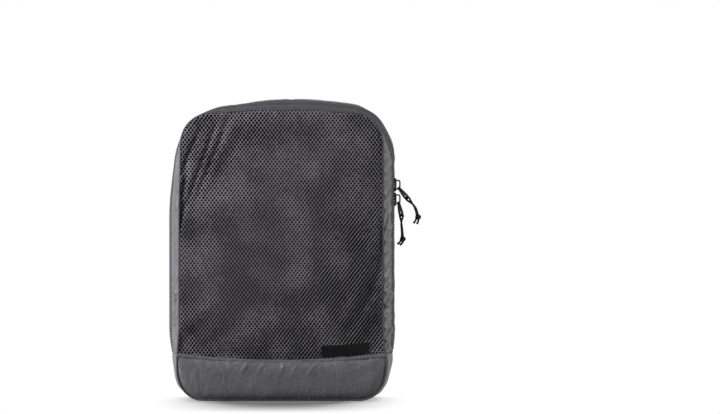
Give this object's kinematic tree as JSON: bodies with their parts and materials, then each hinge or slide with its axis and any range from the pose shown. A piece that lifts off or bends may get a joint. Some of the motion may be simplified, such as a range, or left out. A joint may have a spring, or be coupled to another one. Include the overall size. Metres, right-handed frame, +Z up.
{
  "type": "packing cube",
  "caption": "Upright soft-sided packing cube with a mesh front flap, a grey base band, piped seams and a two-slider coil zip with cord pulls.",
  "frame": {"origin": "middle of the flat base that the cube stands on", "axes": "+Z up to the crown, -Y towards the mesh front, +X to the side that carries the two zip sliders"},
  "size_m": [0.2675, 0.0909, 0.32],
  "materials": {
    "nylon": "grey coated ripstop nylon, slight sheen",
    "mesh": "charcoal knitted mesh",
    "zip_tape": "dark woven zip tape",
    "teeth": "black coil teeth",
    "piping": "dark binding tape",
    "label": "bare black woven label",
    "slider": "black enamelled zinc",
    "cord": "black braided cord"
  },
  "bodies": {
    "tub": {"back_panel": "nylon", "back_gusset": "nylon", "bottom_gusset": "nylon", "front_band": "nylon", "back_zip_tape": "zip_tape", "back_zip_teeth": "teeth", "back_piping": "piping", "band_piping": "piping"},
    "flap": {"mesh_panel": "mesh", "front_gusset_left": "nylon", "front_gusset_right": "nylon", "front_zip_tape": "zip_tape", "front_zip_teeth": "teeth", "front_piping": "piping", "label_patch": "label"},
    "upper_slider": {"upper_slider": "slider"},
    "upper_loop": {"upper_pull_loop": "slider"},
    "upper_pull": {"upper_pull_cord": "cord", "upper_cord_knot": "cord"},
    "lower_slider": {"lower_slider": "slider"},
    "lower_loop": {"lower_pull_loop": "slider"},
    "lower_pull": {"lower_pull_cord": "cord", "lower_cord_knot": "cord"}
  },
  "joints": [
    {"name": "flap_fold", "type": "hinge", "parent": "tub", "child": "flap", "pos_m": [0, -0.0422, 0.0503], "axis": [1, 0, 0], "range_deg": [0, 98]},
    {"name": "upper_slider_run", "type": "slide", "parent": "tub", "child": "upper_slider", "axis": [0, 0, 1], "range_m": [0, 0.014]},
    {"name": "lower_slider_run", "type": "slide", "parent": "tub", "child": "lower_slider", "axis": [0, 0, -1], "range_m": [0, 0.125]},
    {"name": "upper_loop_swing", "type": "hinge", "parent": "upper_slider", "child": "upper_loop", "pos_m": [0.1247, -0.0115, 0.22605], "axis": [0, -1, 0], "range_deg": [0, 110]},
    {"name": "upper_pull_swing", "type": "hinge", "parent": "upper_loop", "child": "upper_pull", "pos_m": [0.13434, -0.0115, 0.21456], "axis": [0, -1, 0], "range_deg": [-20, 60]},
    {"name": "lower_loop_swing", "type": "hinge", "parent": "lower_slider", "child": "lower_loop", "pos_m": [0.1247, -0.0115, 0.21055], "axis": [0, -1, 0], "range_deg": [-1, 30]},
    {"name": "lower_pull_swing", "type": "hinge", "parent": "lower_loop", "child": "lower_pull", "pos_m": [0.12782, -0.0115, 0.19588], "axis": [0, -1, 0], "range_deg": [-1, 50]}
  ]
}
